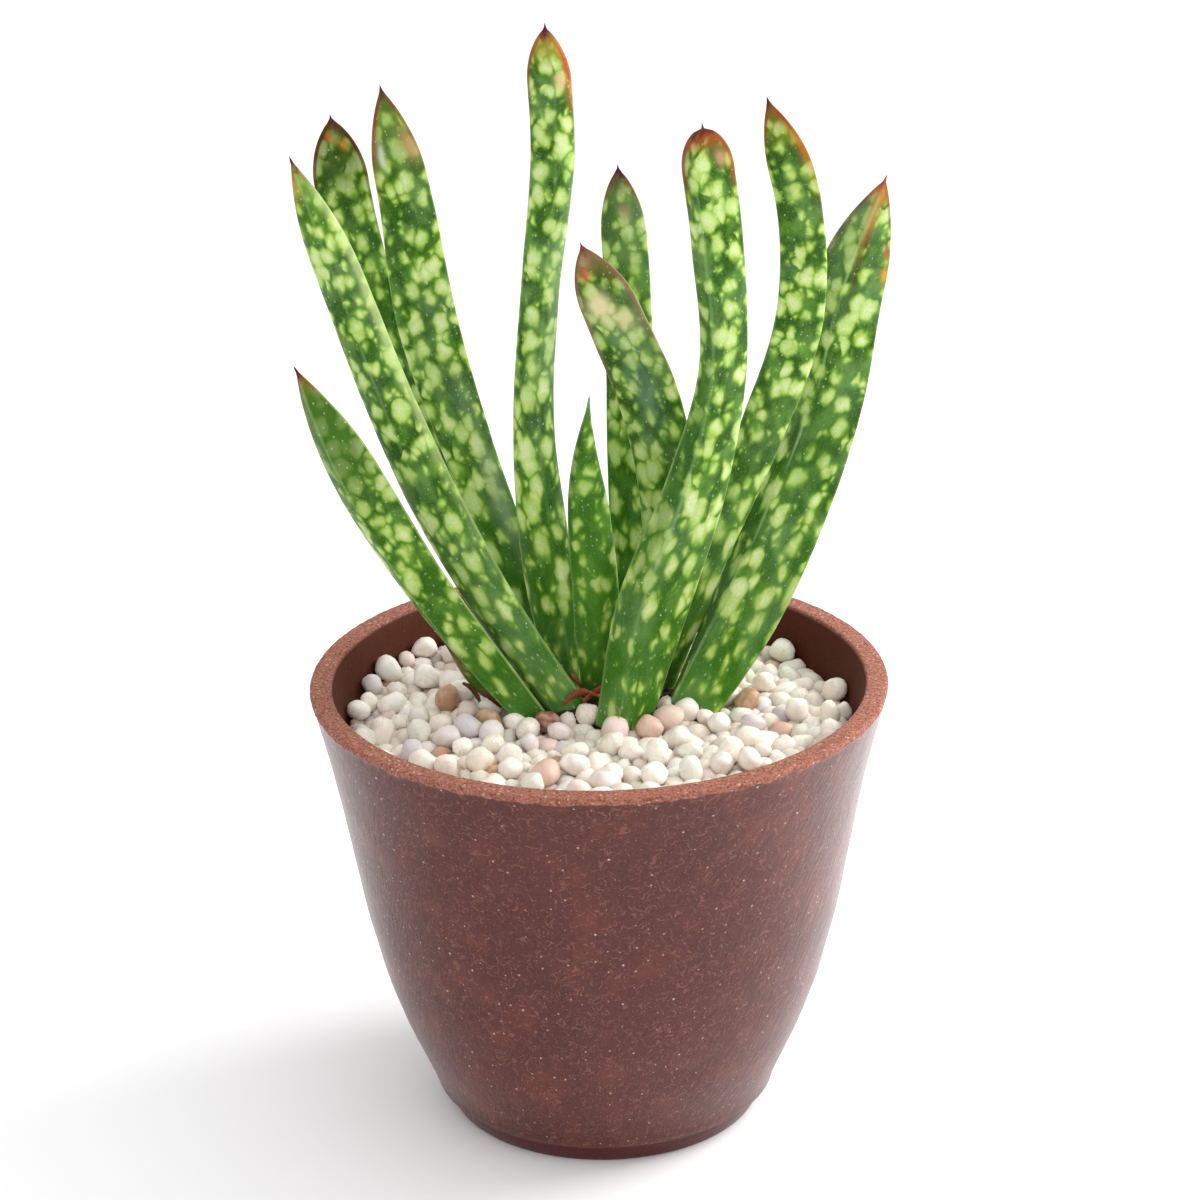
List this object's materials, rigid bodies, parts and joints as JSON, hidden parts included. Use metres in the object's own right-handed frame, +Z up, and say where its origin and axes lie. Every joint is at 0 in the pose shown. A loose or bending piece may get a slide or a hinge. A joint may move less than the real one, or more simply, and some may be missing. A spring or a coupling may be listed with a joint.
{
  "type": "potted succulent",
  "caption": "Gasteria with long keeled spotted leaves in a fan, standing in a tapered fibre-composite pot with pebble mulch over the soil.",
  "frame": {"origin": "centre of the pot's foot, on the surface that it stands on", "axes": "+Z up along the pot's axis; the fan of leaves spreads along X and the plant's front faces -Y"},
  "size_m": [0.1198, 0.1198, 0.2335],
  "materials": {
    "pot": "satin red-brown fibre composite with fine pale flecks",
    "soil": "dark coarse potting mix",
    "root": "dull pale fleshy root",
    "pebble": "smooth dry rounded quartz pebbles",
    "leaf": "waxy green leaf with pale blotches and small raised white specks",
    "dry_leaf": "dry papery red-brown sheath"
  },
  "bodies": {
    "root": {"pot": "pot", "soil": "soil", "crown_left": "root", "crown_right": "root", "gravel_bed": "pebble", "leaf_front_left_low": "leaf", "leaf_front_left_long": "leaf", "leaf_back_left_outer": "leaf", "leaf_back_left_inner": "leaf", "leaf_centre_tall": "leaf", "leaf_centre_short": "leaf", "leaf_back_right_straight": "leaf", "leaf_back_right_wide": "leaf", "leaf_front_centre": "leaf", "leaf_right_long": "leaf", "leaf_far_right": "leaf", "leaf_old_stub": "leaf", "dry_sheath_long": "dry_leaf", "dry_sheath_curl": "dry_leaf", "dry_root": "dry_leaf"}
  },
  "joints": []
}
